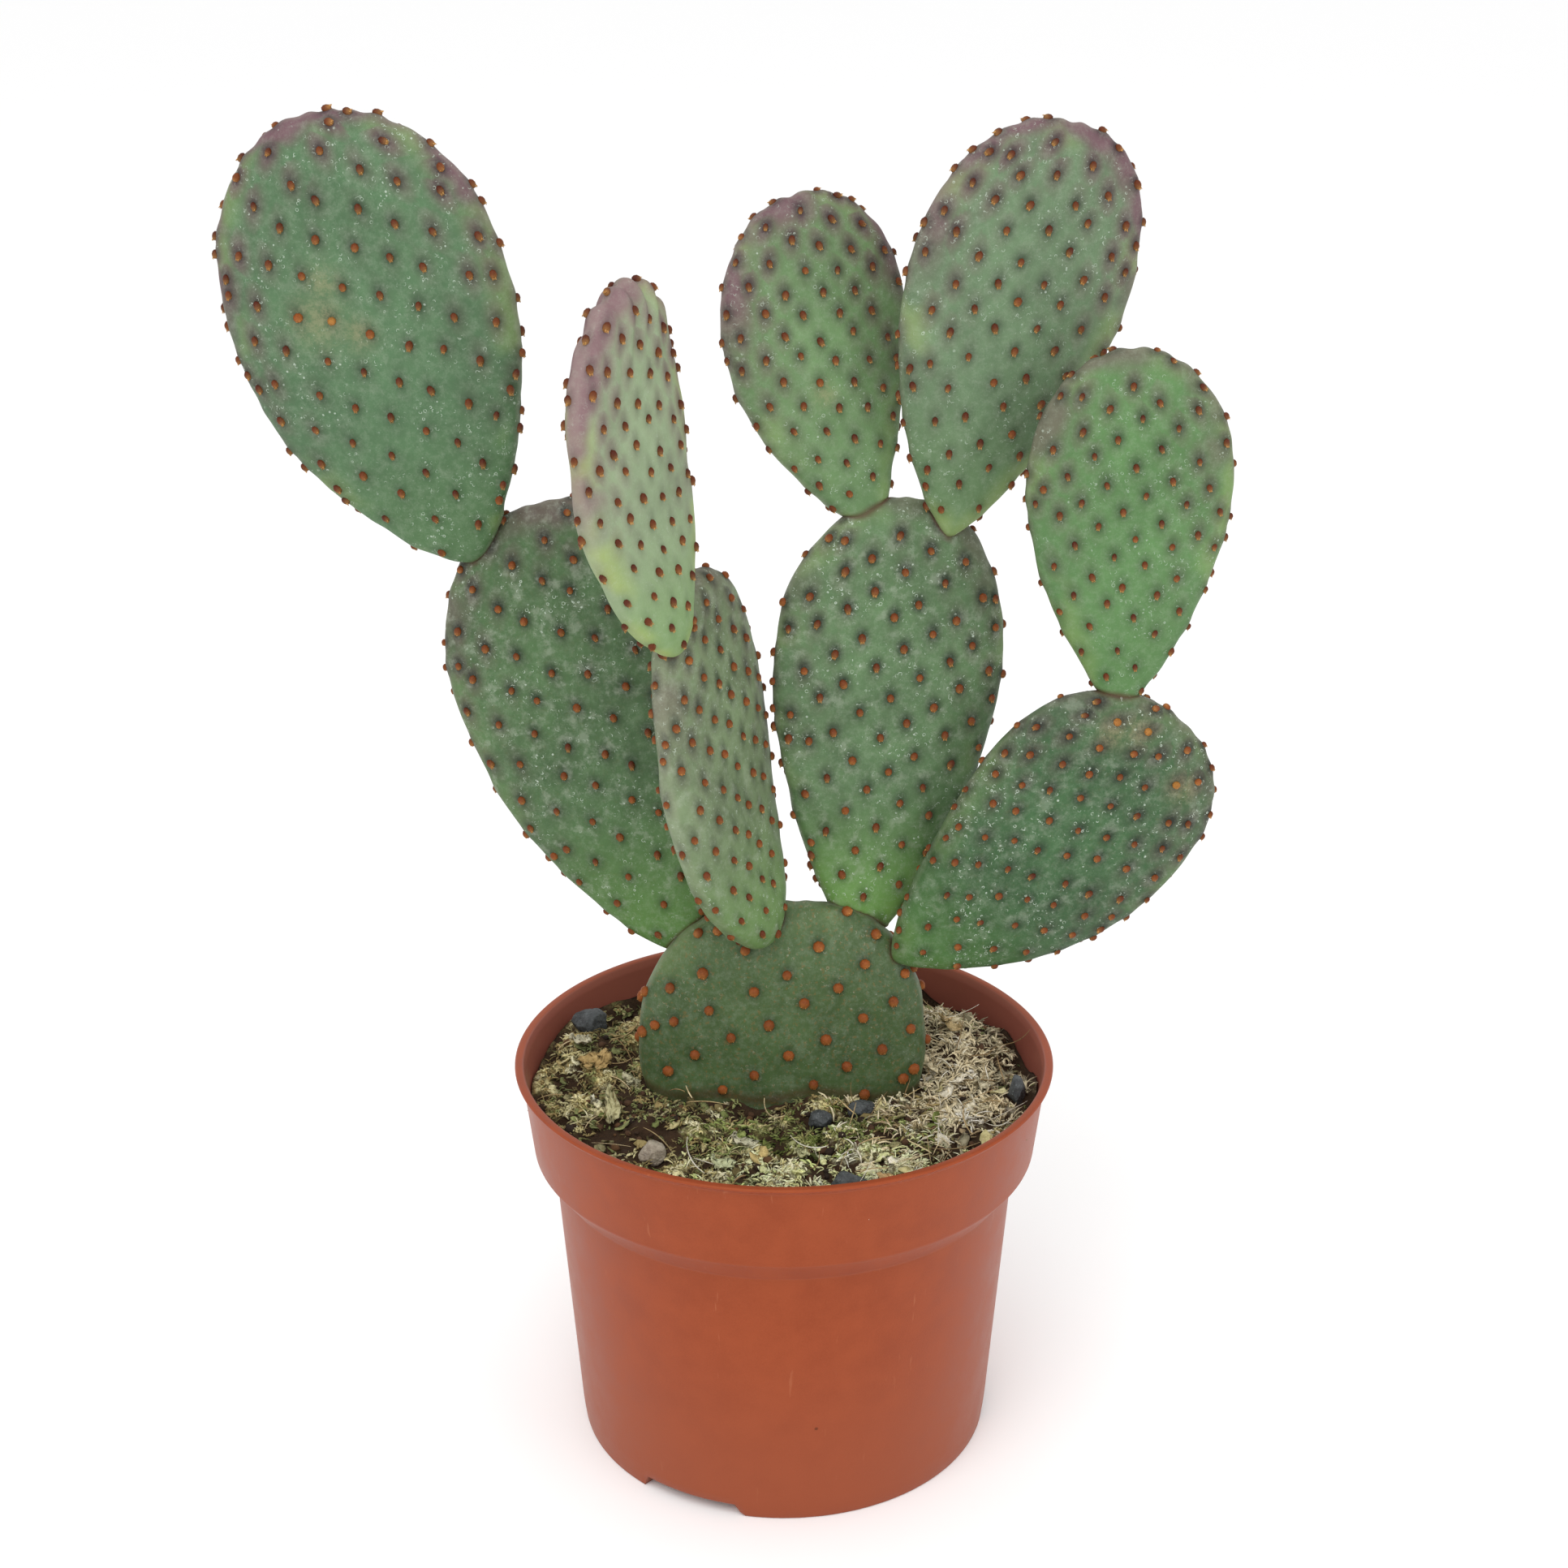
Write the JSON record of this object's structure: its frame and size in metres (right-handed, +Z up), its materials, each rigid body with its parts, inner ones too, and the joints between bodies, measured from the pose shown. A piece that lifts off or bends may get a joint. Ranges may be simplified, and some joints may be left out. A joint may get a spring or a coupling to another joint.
{
  "type": "potted paddle cactus",
  "caption": "Living paddle cactus of flat oval pads with tufted areoles, rooted in soil in a round plastic nursery pot.",
  "frame": {"origin": "middle of the flat underside of the pot's floor, on the surface that the pot stands on", "axes": "+Z up, -Y towards the side that the picture shows, +X to the right of that side"},
  "size_m": [0.2253, 0.13, 0.3195],
  "materials": {
    "pot_plastic": "satin",
    "soil": "matte",
    "old_skin": "matte",
    "grown_skin": "matte",
    "young_skin": "matte",
    "lava_stone": "matte",
    "pale_stone": "matte"
  },
  "bodies": {
    "root": {"pot": "pot_plastic", "soil": "soil", "base_pad": "old_skin", "left_lower_pad": "grown_skin", "turned_lower_pad": "grown_skin", "centre_lower_pad": "grown_skin", "right_lower_pad": "grown_skin", "left_upper_pad": "young_skin", "turned_upper_pad": "young_skin", "centre_left_pad": "young_skin", "centre_right_pad": "young_skin", "right_upper_pad": "young_skin", "lava_stone_back_left": "lava_stone", "lava_stone_by_pad_right": "lava_stone", "lava_stone_by_pad_middle": "lava_stone", "lava_stone_front": "lava_stone", "lava_stone_right": "lava_stone", "pale_pebble": "pale_stone"}
  },
  "joints": []
}
